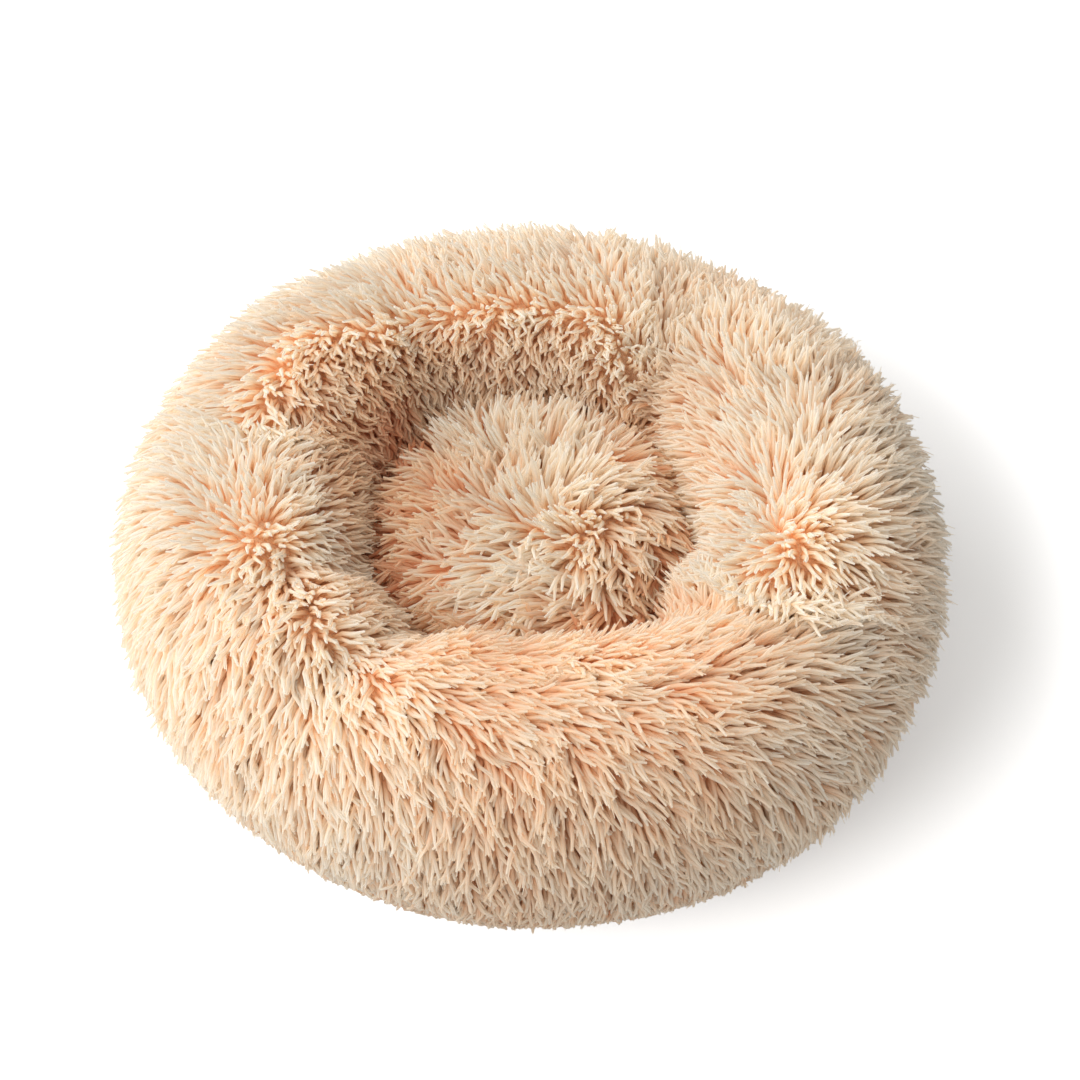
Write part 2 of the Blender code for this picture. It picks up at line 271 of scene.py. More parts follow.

# How the pile grows in places of the photograph: pixel, reach in pixels, length in metres,
# lift in degrees, curl, tone from warm to pale. The tone is partly the pile's own colour and partly
# painted shade, lowest in the nest's corner, on its walls and on the pad's left side under the
# bolster.
BOLSTER_GROWTH = (
    (230, 350, 90, 0.036, 10, 0.0, 1.00), (160, 470, 70, 0.034, 13, 0.0, 0.90),
    (420, 265, 80, 0.032, 20, 0.1, 0.95), (560, 265, 80, 0.030, 22, 0.1, 0.95),
    (340, 410, 50, 0.016, 44, 1.0, -0.45), (300, 350, 40, 0.020, 38, 0.8, 0.50),
    (440, 362, 45, 0.016, 44, 1.0, -0.15), (520, 345, 45, 0.016, 44, 1.0, 0.50),
    (600, 345, 45, 0.017, 42, 0.9, 0.60), (650, 400, 40, 0.019, 42, 0.8, 0.05),
    (720, 470, 55, 0.032, 8, 0.0, 0.75), (690, 560, 40, 0.028, 10, 0.0, 0.65),
    (780, 330, 90, 0.031, 28, 0.1, 0.80), (880, 480, 70, 0.034, 27, 0.1, 0.80),
    (860, 600, 70, 0.033, 26, 0.1, 0.65), (800, 700, 80, 0.030, 20, 0.2, 0.60),
    (600, 680, 60, 0.026, 18, 0.3, 0.30), (480, 665, 40, 0.026, 20, 0.2, 0.25),
    (450, 790, 90, 0.027, 16, 0.3, 0.55), (620, 810, 90, 0.027, 16, 0.3, 0.55),
    (250, 700, 90, 0.031, 11, 0.2, 0.90), (170, 600, 60, 0.031, 12, 0.1, 0.90),
    (270, 520, 40, 0.016, 36, 0.4, 0.75), (800, 525, 34, 0.020, 26, 0.2, 1.10),
    (350, 600, 40, 0.017, 40, 0.9, 0.15),
    # Painted shade: the lowest tones, in the nest's corner and in the gap at the pad's edge
    (388, 412, 22, 0.013, 36, 0.9, -1.10), (378, 565, 14, 0.012, 30, 0.6, -1.20),
    (345, 480, 22, 0.024, 52, 0.6, 0.05), (352, 525, 20, 0.025, 54, 0.6, 0.05),
    (395, 602, 22, 0.022, 46, 0.9, 0.30),
    (350, 850, 50, 0.023, 12, 0.2, 0.95),
)
PAD_GROWTH = (
    (520, 440, 50, 0.038, 54, 0.2, 0.95), (560, 480, 25, 0.034, 52, 0.2, 0.90),
    (590, 515, 22, 0.020, 40, 0.2, 0.60),
    # Painted shade on the pad's left side under the bolster, and painted light at its shaded front
    (420, 510, 50, 0.030, 20, 0.2, -0.05), (530, 580, 55, 0.030, 15, 0.3, 1.00),
    (640, 470, 45, 0.028, 30, 0.2, 0.60), (650, 550, 40, 0.026, 24, 0.2, 0.45),
)
METRES_IN_PIXEL = 0.0006
GROWTH_ELSEWHERE = 0.04

# How each pile changes over its section, as degrees and the values there. The usual length, lift,
# curl and tone hold between the photograph's places; the usual tone is lowest at the nest's foot,
# painted shade there. Painted light makes the partings paler, and painted shade darkens the foot.
# Outside the angles that it grows between, the cloth is bare. Past the angle that it parts at it
# lies one way over the section, and before it the other way.
BOLSTER_PILE = {
    "usual": (
        ((10, 60, 90, 180), (0.018, 0.026, 0.031, 0.028)),
        ((10, 60, 90, 180), (42, 28, 17, 12)),
        ((10, 60, 90, 180), (0.9, 0.4, 0.2, 0.3)),
        ((8, 30, 60, 90, 180), (-0.8, -0.05, 0.40, 0.65, 0.6)),
    ),
    "painted light in partings": ((30, 60), (0.1, 1.0)),
    "painted shade at foot": ((6, 30), (-0.9, 0.0)),
    "trim": ((165, 195, 214), (1.0, 0.65, 0.28)),
    "depth": ((-5, 4, 20, 200, 216), (0.2, 0.3, 1.0, 1.0, 0.05)),
    "grows between": (4, 360),
    "parts at": 60,
}
PAD_PILE = {
    "usual": (((0,), (0.028,)), ((0,), (20,)), ((0,), (0.3,)), ((0,), (0.45,))),
    "painted light in partings": ((0,), (0.6,)),
    "painted shade at foot": ((50, 62), (0.0, -1.1)),
    "trim": ((0,), (1.0,)),
    "depth": ((0, 56, 66, 75), (1.0, 1.0, 0.5, 0.15)),
    "grows between": (0, 68),
    "parts at": -1,
}


def unit(vectors):
    """The same directions with length 1."""
    return vectors / np.maximum(np.linalg.norm(vectors, axis=-1, keepdims=True), 1e-9)


def placed(name, data):
    """An object of the scene, with its mesh, lamp or camera."""
    made = bpy.data.objects.new(name, data)
    bpy.context.scene.collection.objects.link(made)
    return made


def new_material(name):
    """A material with nodes, and its tree."""
    material = bpy.data.materials.new(name)
    material.use_nodes = True
    return material, material.node_tree


def aim_camera():
    """The camera at the photograph's viewing angle."""
    data = bpy.data.cameras.new("camera")
    data.lens = CAMERA_LENS_MM
    data.sensor_width = SENSOR_MM
    camera = placed("camera", data)
    camera.location = CAMERA_TARGET - photo_axes()[2] * CAMERA_DISTANCE
    camera.rotation_euler = (math.pi / 2 - CAMERA_ELEVATION, 0, 0)
    bpy.context.scene.camera = camera


def photo_ray(x, y):
    """The camera's place and the direction in which it sees a pixel of the photograph."""
    across, up, ahead = photo_axes()
    scale = SENSOR_MM / CAMERA_LENS_MM / PHOTO_SIDE
    half = PHOTO_SIDE / 2
    direction = ahead + across * (x - half) * scale + up * (half - y) * scale
    return CAMERA_TARGET - ahead * CAMERA_DISTANCE, direction.normalized()


def photo_axes():
    """The picture's right, up and far directions."""
    cosine = math.cos(CAMERA_ELEVATION)
    sine = math.sin(CAMERA_ELEVATION)
    return Vector((1, 0, 0)), Vector((0, sine, cosine)), Vector((0, cosine, -sine))


def surface_of(node):
    """The CAD node's surface, for rays to hit."""
    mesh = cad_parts[node].data
    mesh.calc_loop_triangles()
    corners = [tuple(v.co) for v in mesh.vertices]
    return BVHTree.FromPolygons(corners, [tuple(t.vertices) for t in mesh.loop_triangles])


def smoothed(field, reach):
    """The field blurred around the bed and over the section, by a bell curve of that reach."""
    span = int(3 * reach)
    bell = np.exp(-0.5 * (np.arange(-span, span + 1) / reach) ** 2)
    bell /= bell.sum()
    around = sum(w * np.roll(field, k - span, axis=0) for k, w in enumerate(bell))
    edges = [(0, 0)] * field.ndim
    edges[1] = (span, span)
    padded = np.pad(around, edges, mode="edge")
    return sum(w * padded[:, k : k + field.shape[1]] for k, w in enumerate(bell))


def normals_of(grid):
    """Outward unit normals of a grid whose first axis runs round the bed."""
    around = np.roll(grid, -1, axis=0) - np.roll(grid, 1, axis=0)
    over = np.gradient(grid, axis=1)
    return unit(np.cross(over, around))


def reach_of(node, cores, rays, search):
    """How far the node's surface lies from the cores, met from outside along the rays."""
    surface = surface_of(node)
    reach = np.full(rays.shape[:2], np.nan)
    for i, j in np.ndindex(reach.shape):
        ray = Vector(rays[i, j])
        _, _, _, distance = surface.ray_cast(Vector(cores[i]) + ray * search, -ray)
        if distance is not None:
            reach[i, j] = search - distance
    reach[np.isnan(reach)] = np.nanmean(reach)
    return reach


def turned_rays(steps, tilts):
    """Level directions round the bed, and rays that rise from them by the tilts."""
    turns = np.arange(steps) * 2 * math.pi / steps
    outward = np.stack([np.cos(turns), np.sin(turns), 0 * turns], -1)
    upward = np.array([0, 0, 1.0])
    level = np.cos(tilts)[None, :, None] * outward[:, None, :]
    return outward, level + np.sin(tilts)[None, :, None] * upward


def repeated(x, y, z, count):
    """One point or direction, as many times as the count says."""
    return np.repeat(np.array([[x, y, z]]), count, 0)


def rim_of(node, height):
    """How far a node's side lies from the bed's axis, and the level directions to it."""
    outward, _ = turned_rays(BASE_STEPS_AROUND, np.zeros(1))
    cores = repeated(0, 0, height, BASE_STEPS_AROUND)
    return reach_of(node, cores, outward[:, None], LINING_SEARCH_REACH), outward


def ring_grid(node, tilts):
    """A node's outer surface round the bolster's stuffing; 0 degrees looks at the nest."""
    outward, rays = turned_rays(STEPS_AROUND, math.pi - tilts)
    cores = outward * CORE_RADIUS + np.array([0, 0, CORE_HEIGHT])
    return cores, rays, reach_of(node, cores, rays, SEARCH_REACH)


def mound_grid(node, tilts):
    """A node's outer surface round a point on the pad's axis; 0 degrees looks up."""
    low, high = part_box("pad_cover")
    middle = (low + high) / 2
    _, rays = turned_rays(PAD_STEPS_AROUND, math.pi / 2 - tilts)
    cores = repeated(middle.x, middle.y, PAD_CENTRE_HEIGHT, PAD_STEPS_AROUND)
    return cores, rays, reach_of(node, cores, rays, PAD_SEARCH_REACH)


def bolster_grid():
    """The pile's outer surface on the bolster, from the nest's foot over the crest to the seam."""
    tilts = np.linspace(NEST_FOOT_ANGLE, OUTER_SEAM_ANGLE, STEPS_OVER)
    cores, rays, reach = ring_grid("bolster_cover", tilts)
    return cores, rays, smoothed(reach, FACET_SMOOTHING), tilts


def pad_grid():
    """The pile's outer surface on the pad, from the middle of its top down to its foot."""
    tilts = np.linspace(0, PAD_FOOT_ANGLE, PAD_STEPS_OVER)
    cores, rays, reach = mound_grid("pad_cover", tilts)
    return cores, rays, smoothed(reach, PAD_SMOOTHING), tilts


def base_grid():
    """The base fabric's underside, from its middle over the flat floor and up to its rim."""
    edge = BASE_CENTRE_HEIGHT / math.tan(-BASE_FLAT_TILT)
    radii = np.linspace(0, edge, BASE_FLAT_STEPS)
    curl = np.linspace(BASE_FLAT_TILT, BASE_RIM_TILT, BASE_CURL_STEPS + 1)[1:]
    tilts = np.concatenate([-np.arctan2(BASE_CENTRE_HEIGHT, radii), curl])
    _, rays = turned_rays(BASE_STEPS_AROUND, tilts)
    cores = repeated(0, 0, BASE_CENTRE_HEIGHT, BASE_STEPS_AROUND)
    reach = reach_of("base_fabric", cores, rays, BASE_SEARCH_REACH)
    return cores[:, None] + rays * reach[..., None]


def combing(marks, surface):
    """Where the photograph's marks lie on the surface, and their directions along it."""
    across, up, _ = photo_axes()
    places = []
    directions = []
    for x, y, degrees in marks:
        start, ray = photo_ray(x, y)
        place, normal, _, _ = surface.ray_cast(start, ray)
        if place is None:
            continue
        if normal.dot(ray) > 0:
            normal = -normal
        side = normal.orthogonal().normalized()
        other = normal.cross(side)
        wanted = math.radians(degrees)
        best = None
        for turn in np.linspace(0, 2 * math.pi, TURNS_TRIED, endpoint=False):
            flat = side * math.cos(turn) + other * math.sin(turn)
            lock = flat * math.cos(COMBED_LIFT) + normal * math.sin(COMBED_LIFT)
            seen = math.atan2(lock.dot(up), lock.dot(across))
            error = abs(math.remainder(seen - wanted, 2 * math.pi))
            if best is None or error < best[0]:
                best = (error, flat)
        places.append(place)
        directions.append(best[1])
    return np.array(places), np.array(directions)


def comb(points, normals, usual, marks):
    """The direction of the pile along the surface, and how well its neighbours agree on it."""
    flow = usual * COMB_ELSEWHERE
    total = np.full(points.shape[:-1], COMB_ELSEWHERE)
    for place, direction in zip(*marks):
        weight = np.exp(-((points - place) ** 2).sum(-1) / (2 * COMB_REACH**2))
        flow = flow + weight[..., None] * direction
        total = total + weight
    flow = flow - (flow * normals).sum(-1, keepdims=True) * normals
    return unit(flow), np.linalg.norm(flow, axis=-1) / total


def growth(points, usual, places, surface):
    """Length, lift, curl and tone of the pile, blended from the photograph's places."""
    total = np.full(points.shape[:-1], GROWTH_ELSEWHERE)
    blend = usual * GROWTH_ELSEWHERE
    for x, y, reach, *values in places:
        start, ray = photo_ray(x, y)
        place, _, _, _ = surface.ray_cast(start, ray)
        if place is None:
            continue
        span = reach * METRES_IN_PIXEL
        weight = np.exp(-((points - np.array(place)) ** 2).sum(-1) / (2 * span**2))
        blend = blend + weight[..., None] * np.array(values)
        total = total + weight
    return blend / total[..., None]


class Field:
    """A number or vector in a node tree, so that sums in it read as plain formulas."""

    def __init__(self, tree, socket):
        self.tree = tree
        self.socket = socket
        self.is_vector = socket.type == "VECTOR"

    def worked(self, operation, *others):
        """What a maths node for numbers or for vectors makes of the field and others."""
        made = self.tree.nodes.new("ShaderNodeVectorMath" if self.is_vector else "ShaderNodeMath")
        made.operation = operation
        feed(self.tree, made.inputs[0], self)
        for k, other in enumerate(others):
            feed(self.tree, made.inputs["Scale" if operation == "SCALE" else k + 1], other)
        return output(made)

    def __add__(self, other):
        return self.worked("ADD", other)

    def __sub__(self, other):
        return self.worked("SUBTRACT", other)

    def __mul__(self, other):
        other_is_vector = isinstance(other, Field) and other.is_vector
        if self.is_vector and not other_is_vector:
            return self.worked("SCALE", other)
        if other_is_vector and not self.is_vector:
            return other * self
        return self.worked("MULTIPLY", other)

    def cross(self, other):
        return self.worked("CROSS_PRODUCT", other)

    def cosine(self):
        return self.worked("COSINE")

    def sine(self):
        return self.worked("SINE")

    def power(self, other):
        return self.worked("POWER", other)


def feed(tree, socket, value):
    """Links a field, an output or a node's first output to a socket, or sets the socket's value."""
    if isinstance(value, bpy.types.Node):
        value = output(value)
    if isinstance(value, Field):
        value = value.socket
    if isinstance(value, bpy.types.NodeSocket):
        tree.links.new(value, socket)
    else:
        socket.default_value = value


def add_node(tree, kind, **given):
    """A node with its settings, named in small letters, and its inputs, named with a capital."""
    made = tree.nodes.new(kind)
    for name, value in given.items():
        if name.islower():
            setattr(made, name, value)
    for name, value in given.items():
        if not name.islower():
            label = name.replace("_", " ")
            feed(tree, next(s for s in made.inputs if s.enabled and s.name == label), value)
    return made


def output(made, name=None):
    """A node's first output in use, or the one of that name, as a field."""
    found = [s for s in made.outputs if s.enabled and name in (None, s.name)]
    return Field(made.id_data, found[0])


def given_by(tree, kind, name=None):
    """What a node without inputs gives, as a field."""
    return output(tree.nodes.new(kind), name)


def vector_of(tree, **parts):
    """A vector made of the numbers X, Y and Z."""
    return output(add_node(tree, "ShaderNodeCombineXYZ", **parts))


def stored(tree, name, kind="FLOAT"):
    """A named attribute of the geometry."""
    made = add_node(tree, "GeometryNodeInputNamedAttribute", Name=name, data_type=kind)
    return output(made, "Attribute")


def stored_vector(tree, name):
    """A named vector of the geometry."""
    return stored(tree, name, "FLOAT_VECTOR")


def keep(tree, geometry, name, value, kind="FLOAT", domain="POINT"):
    """The geometry with a value kept on it under a name."""
    feeds = {"Geometry": geometry, "Name": name, "Value": value}
    return add_node(tree, "GeometryNodeStoreNamedAttribute", data_type=kind, domain=domain, **feeds)


def keep_all(tree, geometry, values):
    """The geometry with every value kept on its points under its name."""
    for name, value in values.items():
        kind = "FLOAT_VECTOR" if value.is_vector else "FLOAT"
        geometry = keep(tree, geometry, name, value, kind)
    return geometry


def noise(tree, place, scale, detail, **feeds):
    """Soft random patches from 0 to 1, with so many to the metre."""
    feeds.update(Vector=place, Scale=scale, Detail=detail)
    return output(add_node(tree, "ShaderNodeTexNoise", **feeds), "Fac")


def chance(tree, low, high, seed):
    """A random number for each element."""
    feeds = {"Min": low, "Max": high, "Seed": seed}
    return output(add_node(tree, "FunctionNodeRandomValue", data_type="FLOAT", **feeds), "Value")


def new_tree(name, inputs):
    """An empty tree of Geometry Nodes with named inputs, and the fields of those inputs."""
    tree = bpy.data.node_groups.new(name, "GeometryNodeTree")
    tree.interface.new_socket(name="Geometry", in_out="INPUT", socket_type="NodeSocketGeometry")
    tree.interface.new_socket(name="Geometry", in_out="OUTPUT", socket_type="NodeSocketGeometry")
    kinds = {float: "NodeSocketFloat", int: "NodeSocketInt"}
    for label, value in inputs.items():
        kind = kinds[type(value)]
        tree.interface.new_socket(name=label, in_out="INPUT", socket_type=kind).default_value = value
    given = tree.nodes.new("NodeGroupInput")
    return tree, given, {label: Field(tree, given.outputs[label]) for label in inputs}


def close_tree(tree, geometry, material):
    """Realize Instances and Set Material at the tree's end."""
    solid = add_node(tree, "GeometryNodeRealizeInstances", Geometry=geometry)
    painted = add_node(tree, "GeometryNodeSetMaterial", Geometry=solid, Material=material)
    feed(tree, tree.nodes.new("NodeGroupOutput").inputs[0], painted)


def locks_on_cloth(tree, cloth, size):
    """A point for each lock on the cloth, with its direction, lift, length and tone."""
    seed = size["Seed"]
    feeds = {
        "Distance_Min": size["Lock spacing"],
        "Density_Max": size["Locks per square metre"],
        "Density_Factor": stored(tree, "thickness"),
        "Seed": seed,
        "distribute_method": "POISSON",
    }
    roots = add_node(tree, "GeometryNodeDistributePointsOnFaces", Mesh=cloth, **feeds)
    place = given_by(tree, "GeometryNodeInputPosition")
    rise = stored_vector(tree, "rise")
    ripple = noise(tree, place, RIPPLES_PER_METRE, 0.0) - 0.5
    wander = (noise(tree, place, SWIRLS_PER_METRE, 1.0) - 0.5) * 4.0 * size["Swirl"]
    wander = wander + ripple * RIPPLE_SHARE * size["Swirl"]
    wander = wander + chance(tree, -1.0, 1.0, seed + 11) * stored(tree, "straggle")
    combed = stored_vector(tree, "comb")
    turned = add_node(tree, "ShaderNodeVectorRotate", Vector=combed, Axis=rise, Angle=wander)
    tufts = add_node(tree, "ShaderNodeTexVoronoi", Vector=place, Scale=size["Tufts per metre"])
    inwards = output(tufts, "Position") - place
    tone = stored(tree, "tone") + (noise(tree, place, PATCHES_PER_METRE, 2.0) - 0.5) * PATCH_TONE
    values = {
        "lock_comb": output(turned),
        "lock_root": place,
        "lock_tuft": rise.cross(inwards.cross(rise)),
        "lock_lift": stored(tree, "lift") + chance(tree, *LIFT_VARIES, seed + 12),
        "lock_length": stored(tree, "length") * chance(tree, *LENGTH_VARIES, seed + 13),
        "lock_turn": chance(tree, *TURN_VARIES, seed + 14),
        "lock_tone": tone + chance(tree, *LOCK_TONE_VARIES, seed + 15),
    }
    return keep_all(tree, roots, values)


def strands_of_locks(tree, locks, size):
    """The strands of each lock, the first its core, as curves that aren't in place yet."""
    seed = size["Seed"]
    feeds = {"Geometry": locks, "Amount": size["Strands in a lock"]}
    copies = add_node(tree, "GeometryNodeDuplicateElements", domain="POINT", **feeds)
    index = output(copies, "Duplicate Index")
    loose = index.worked("MINIMUM", 1.0)
    share = chance(tree, *STRAND_LENGTH_VARIES, seed + 21) * loose
    values = {
        "loose": loose,
        "strand_turn": index * GOLDEN_ANGLE + stored(tree, "lock_turn"),
        "strand_share": share + (loose * -1.0 + 1.0) * CORE_LENGTH_SHARE,
        "strand_spread": chance(tree, 0.5, 1.0, seed + 22) * loose,
        "strand_stray": chance(tree, -1.0, 1.0, seed + 23) * loose,
        "strand_tone": chance(tree, *STRAND_TONE_VARIES, seed + 24),
    }
    strands = keep_all(tree, copies, values)
    line = tree.nodes.new("GeometryNodeCurvePrimitiveLine")
    count = size["Points in a strand"]
    stepped = add_node(tree, "GeometryNodeResampleCurve", Curve=line, Count=count)
    sown = add_node(tree, "GeometryNodeInstanceOnPoints", Points=strands, Instance=stepped)
    return add_node(tree, "GeometryNodeRealizeInstances", Geometry=sown)


def strand_places(tree, size):
    """How far along its strand each point is, and its place."""
    along = given_by(tree, "GeometryNodeSplineParameter", "Factor")
    squared = along * along
    rise = stored_vector(tree, "rise")
    forward = stored_vector(tree, "lock_comb")
    sideways = rise.cross(forward)
    lift = stored(tree, "lock_lift")
    length = stored(tree, "lock_length") * stored(tree, "strand_share")
    root_lift = lift + ROOT_BOW
    start = forward * root_lift.cosine() + rise * root_lift.sine()
    end = forward * lift.cosine() + rise * lift.sine()
    bow = (start * (along - squared) + end * squared) * length
    turn = stored(tree, "strand_turn")
    spread = stored(tree, "strand_spread") * size["Lock width"] * 0.5
    spread = spread * (stored(tree, "parting") * PARTING_SPREAD + 1.0)
    around = (forward * turn.cosine() + sideways * turn.sine()) * spread
    gather = squared * -GATHER_AT_TIP + 1.0
    stray = sideways * (squared * stored(tree, "strand_stray") * STRAY_WIDTH)
    phase = along * CURL_TURN + stored(tree, "lock_turn") + stored(tree, "strand_stray") * 0.5
    curl = (stored(tree, "curl") + LEAST_CURL) * along * CURL_WIDTH
    wave = (sideways * phase.sine() + rise * phase.cosine() * CURL_HEIGHT_SHARE) * curl
    pulled = stored_vector(tree, "lock_tuft") * (squared * size["Tuft pull"])
    root = stored_vector(tree, "lock_root")
    return along, root + bow + around * gather + stray + wave + pulled


def pile_tree(material):
    """Locks of pile on a cloth: each lock a few tapered strands that lean along the comb."""
    tree, given, size = new_tree("pile", PILE_SIZES)
    locks = locks_on_cloth(tree, given, size)
    strands = strands_of_locks(tree, locks, size)
    along, position = strand_places(tree, size)
    shaped = add_node(tree, "GeometryNodeSetPosition", Geometry=strands, Position=position)
    curves = keep(tree, shaped, "along", along)
    feeds = {"Geometry": curves, "Selection": stored(tree, "loose")}
    parted = add_node(tree, "GeometryNodeSeparateGeometry", domain="POINT", **feeds)
    loose, first = parted.outputs
    thin = strand_mesh(tree, loose, STRAND_SIDES, size["Strand radius"], False)
    core = strand_mesh(tree, first, CORE_SIDES, size["Core radius"], True)
    joined = tree.nodes.new("GeometryNodeJoinGeometry")
    feed(tree, joined.inputs[0], thin)
    feed(tree, joined.inputs[0], core)
    tone = (stored(tree, "lock_tone") + stored(tree, "strand_tone")) * TONE_SCALE + TONE_MIDDLE
    paint = vector_of(tree, X=tone, Y=stored(tree, "along"))
    mesh = keep(tree, joined, "OFBake", paint, "FLOAT2", "CORNER")
    close_tree(tree, mesh, material)
    return tree


def strand_mesh(tree, curves, sides, radius, smooth):
    """Closed tapered strands round curves, blunt at the tip."""
    solid = tube(tree, curves, sides, 1.0)
    taper = (stored(tree, "along").power(4.0) * -TIP_TAPER + 1.0) * radius
    feed(tree, solid.inputs["Scale"], taper)
    return add_node(tree, "GeometryNodeSetShadeSmooth", Geometry=solid, Shade_Smooth=smooth)


def tube(tree, curve, sides, radius):
    """Closed tubes round curves."""
    outline = add_node(tree, "GeometryNodeCurvePrimitiveCircle", Resolution=sides, Radius=radius)
    feeds = {"Curve": curve, "Profile_Curve": outline, "Fill_Caps": True}
    return add_node(tree, "GeometryNodeCurveToMesh", **feeds)


def copies_on(tree, points, shape, rotation, **feeds):
    """Turned copies of a shape on points."""
    feeds.update(Points=points, Instance=shape, Rotation=rotation)
    return add_node(tree, "GeometryNodeInstanceOnPoints", **feeds)


def grown(name, base, tree, sizes):
    """What a tree grows on a base mesh with these sizes, as a plain mesh object."""
    modifier = base.modifiers.new("pile", "NODES")
    modifier.node_group = tree
    for item in tree.interface.items_tree:
        if item.item_type == "SOCKET" and item.name in sizes:
            modifier[item.identifier] = sizes[item.name]
    bpy.context.view_layer.update()
    evaluated = base.evaluated_get(bpy.context.evaluated_depsgraph_get())
    mesh = bpy.data.meshes.new_from_object(evaluated)
    bpy.data.objects.remove(base)
    mesh.name = name
    keep_only(mesh, "OFBake")
    return placed(name, mesh)


def keep_only(mesh, kept):
    """Removes the working attributes that a tree left on a mesh."""
    for attribute in [a.name for a in mesh.attributes]:
        found = mesh.attributes.get(attribute)
        if attribute == kept or found is None or found.is_required:
            continue
        if attribute in ("material_index", "sharp_face", "sharp_edge") or attribute[0] == ".":
            continue
        mesh.attributes.remove(found)


def sheet_mesh(name, grid, closed=False, looped=False, poles=False, fields=None):
    """A mesh of squares over a grid of points, with values kept on its points."""
    rows, columns = grid.shape[:2]
    mesh = bpy.data.meshes.new(name)
    faces = []
    for i in range(rows if closed else rows - 1):
        here = i * columns
        there = (i + 1) % rows * columns
        for j in range(columns if looped else columns - 1):
            following = (j + 1) % columns
            faces.append((here + following, there + following, there + j, here + j))
    mesh.from_pydata(grid.reshape(-1, 3).tolist(), [], faces)
    if poles:
        merge_poles(mesh)
    for key, values in (fields or {}).items():
        kind = "FLOAT_VECTOR" if values.ndim == 3 else "FLOAT"
        attribute = mesh.attributes.new(key, kind, "POINT")
        data = np.ascontiguousarray(values, np.float32).ravel()
        attribute.data.foreach_set("vector" if values.ndim == 3 else "value", data)
    mesh.shade_smooth()
    return placed(name, mesh)


def merge_poles(mesh):
    """Joins the points that a grid repeats at its poles."""
    shape = bmesh.new()
    shape.from_mesh(mesh)
    bmesh.ops.remove_doubles(shape, verts=shape.verts[:], dist=POLE_MERGE)
    shape.to_mesh(mesh)
    shape.free()


def thicken(piece, thickness, offset):
    """Gives a sheet its thickness, on its outer side for an offset of 1 and its inner for -1."""
    solid = piece.modifiers.new("thickness", "SOLIDIFY")
    solid.thickness = thickness
    solid.offset = offset


def finish_piece(piece, material, slot, *nodes):
    """Paints a piece, lets it ride on the bed and stand for its CAD nodes."""
    piece.data.materials.clear()
    piece.data.materials.append(material)
    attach(piece, "root")
    if nodes:
        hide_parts(*nodes)


def pile_material():
    """Plush pile: warm brown at the root, peach in the middle, cream at the tip; the brown root is
    painted shade and glow among the strands.
    """
    material, tree = new_material("bolster_pile")
    shader = tree.nodes["Principled BSDF"]
    shader.inputs["Roughness"].default_value = 0.7
    shader.inputs["Specular IOR Level"].default_value = 0.12
    uv = add_node(tree, "ShaderNodeUVMap", uv_map="OFBake")
    parts = add_node(tree, "ShaderNodeSeparateXYZ", Vector=uv)
    tone = output(parts, "X")
    # Painted shade: the deep ramp darkens the nest's recesses, and every ramp darkens towards the
    # root among the strands
    deep, warm, pale = (ramp(tree, output(parts, "Y"), stops) for stops in PILE_COLORS)
    lower = blended(tree, deep, warm, tone * DEEP_TO_WARM)
    color = blended(tree, lower, pale, (tone - TONE_MIDDLE) * WARM_TO_PALE)
    feed(tree, shader.inputs["Base Color"], color)
    passed = blended(tree, color, GLOW_TINT, GLOW_TINT_SHARE)
    glow = add_node(tree, "ShaderNodeBsdfTranslucent", Color=passed)
    soft = mixed(tree, GLOW_SHARE, shader, glow)
    through = add_node(tree, "ShaderNodeBsdfTransparent", Color=SHADOW_TINT)
    shadowed = given_by(tree, "ShaderNodeLightPath", "Is Shadow Ray")
    both = mixed(tree, shadowed, soft, through)
    feed(tree, tree.nodes["Material Output"].inputs["Surface"], both)
    return material


def mixed(tree, share, first, second):
    """Two shaders mixed by a share."""
    made = add_node(tree, "ShaderNodeMixShader", Fac=share)
    feed(tree, made.inputs[1], first)
    feed(tree, made.inputs[2], second)
    return made


def blended(tree, first, second, share):
    """Two colours mixed by a share that is held between 0 and 1."""
    return output(add_node(tree, "ShaderNodeMix", data_type="RGBA", Factor=share, A=first, B=second))


def ramp(tree, factor, stops):
    """Colours along a factor."""
    made = add_node(tree, "ShaderNodeValToRGB", Fac=factor)
    while len(made.color_ramp.elements) < len(stops):
        made.color_ramp.elements.new(0.5)
    for element, (position, color) in zip(made.color_ramp.elements, stops):
        element.position = position
        element.color = (*color, 1)
    return made


def cloth_material(height_of, name, dark, pale, roughness, relief):
    """A matte finish whose relief a function draws from the object's coordinates, its colour darker
    in the relief's hollows as painted shade.
    """
    material, tree = new_material(name)
    shader = tree.nodes["Principled BSDF"]
    shader.inputs["Roughness"].default_value = roughness
    shader.inputs["Specular IOR Level"].default_value = 0.25
    shader.inputs["Sheen Weight"].default_value = 0.15
    place = given_by(tree, "ShaderNodeTexCoord", "Object")
    height = height_of(tree, place)
    # Painted shade: the colour is darker where the relief is low, with random patches over it
    shade = height * 0.6 + noise(tree, place, CLOTH_PATCHES_PER_METRE, 3.0) * 0.4
    feed(tree, shader.inputs["Base Color"], ramp(tree, shade, ((0.2, dark), (0.8, pale))))
    bump = add_node(tree, "ShaderNodeBump", Strength=0.8, Distance=relief, Height=height)
    feed(tree, shader.inputs["Normal"], bump)
    return material


def waves(tree, place, direction, pitch):
    """Ridges from 0 to 1 across a direction, at a pitch in metres."""
    feeds = {"Vector": place, "Scale": 2 * math.pi / (WAVE_TEXTURE_TURNS * pitch)}
    return output(add_node(tree, "ShaderNodeTexWave", bands_direction=direction, **feeds), "Fac")


def weave(tree, place):
    """Crossing yarns of a plain weave."""
    warp = waves(tree, place, "X", WEAVE_PITCH)
    weft = waves(tree, place, "Y", WEAVE_PITCH)
    return warp.worked("MAXIMUM", weft) - warp * weft * 0.5


